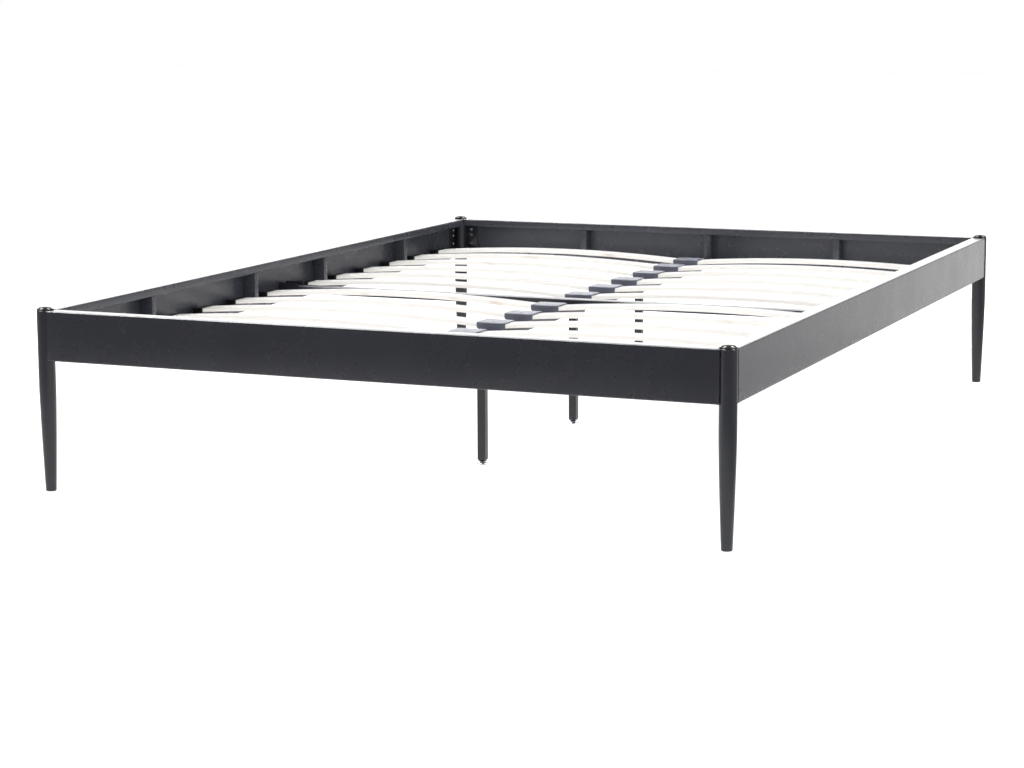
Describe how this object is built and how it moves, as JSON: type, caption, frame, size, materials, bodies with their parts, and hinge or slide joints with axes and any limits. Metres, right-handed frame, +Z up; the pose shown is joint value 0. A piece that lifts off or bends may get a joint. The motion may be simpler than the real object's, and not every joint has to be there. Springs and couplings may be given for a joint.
{
  "type": "bed frame",
  "caption": "Low metal bed frame with tapered round legs, flat rails, bowed wooden slats in plastic holders, and a centre beam on legs with adjustable feet.",
  "frame": {"origin": "on the floor, under the middle of the frame", "axes": "+X across the bed to the right seen from the foot end, +Y along the bed towards the head end, +Z up"},
  "size_m": [1.474, 2.074, 0.3782],
  "materials": {
    "leg_powder_coat": "satin black powder coat",
    "cap_black_plastic": "smooth black",
    "rail_powder_coat": "satin black powder coat",
    "bar_powder_coat": "satin black powder coat",
    "slat_birch": "planed, pale",
    "holder_plastic": "moulded, dark blue grey",
    "centre_leg_powder_coat": "satin black powder coat",
    "foot_zinc": "bright zinc plate"
  },
  "bodies": {
    "frame": {"front_left_leg": "leg_powder_coat", "front_right_leg": "leg_powder_coat", "back_right_leg": "leg_powder_coat", "back_left_leg": "leg_powder_coat", "front_left_leg_cap": "cap_black_plastic", "front_right_leg_cap": "cap_black_plastic", "back_right_leg_cap": "cap_black_plastic", "back_left_leg_cap": "cap_black_plastic", "foot_rail": "rail_powder_coat", "head_rail": "rail_powder_coat", "left_rail": "rail_powder_coat", "right_rail": "rail_powder_coat", "mid_crossbar": "bar_powder_coat", "left_crossbar_saddle": "bar_powder_coat", "right_crossbar_saddle": "bar_powder_coat", "centre_beam": "bar_powder_coat", "head_beam_bracket": "bar_powder_coat", "foot_beam_bracket": "bar_powder_coat", "front_centre_leg": "centre_leg_powder_coat", "middle_centre_leg": "centre_leg_powder_coat", "back_centre_leg": "centre_leg_powder_coat", "left_slat_01": "slat_birch", "left_slat_02": "slat_birch", "left_slat_03": "slat_birch", "left_slat_04": "slat_birch", "left_slat_05": "slat_birch", "left_slat_06": "slat_birch", "left_slat_07": "slat_birch", "left_slat_08": "slat_birch", "left_slat_09": "slat_birch", "left_slat_10": "slat_birch", "left_slat_11": "slat_birch", "left_slat_12": "slat_birch", "right_slat_01": "slat_birch", "right_slat_02": "slat_birch", "right_slat_03": "slat_birch", "right_slat_04": "slat_birch", "right_slat_05": "slat_birch", "right_slat_06": "slat_birch", "right_slat_07": "slat_birch", "right_slat_08": "slat_birch", "right_slat_09": "slat_birch", "right_slat_10": "slat_birch", "right_slat_11": "slat_birch", "right_slat_12": "slat_birch", "slat_holder_01": "holder_plastic", "slat_holder_02": "holder_plastic", "slat_holder_03": "holder_plastic", "slat_holder_04": "holder_plastic", "slat_holder_05": "holder_plastic", "slat_holder_06": "holder_plastic", "slat_holder_07": "holder_plastic", "slat_holder_08": "holder_plastic", "slat_holder_09": "holder_plastic", "slat_holder_10": "holder_plastic", "slat_holder_11": "holder_plastic", "slat_holder_12": "holder_plastic"},
    "front_foot": {"front_adjustable_foot": "foot_zinc"},
    "middle_foot": {"middle_adjustable_foot": "foot_zinc"},
    "back_foot": {"back_adjustable_foot": "foot_zinc"}
  },
  "joints": [
    {"name": "front_foot_slide", "type": "slide", "parent": "frame", "child": "front_foot", "axis": [0, 0, -1], "range_m": [0, 0.0075]},
    {"name": "middle_foot_slide", "type": "slide", "parent": "frame", "child": "middle_foot", "axis": [0, 0, -1], "range_m": [0, 0.0075]},
    {"name": "back_foot_slide", "type": "slide", "parent": "frame", "child": "back_foot", "axis": [0, 0, -1], "range_m": [0, 0.0075]}
  ]
}
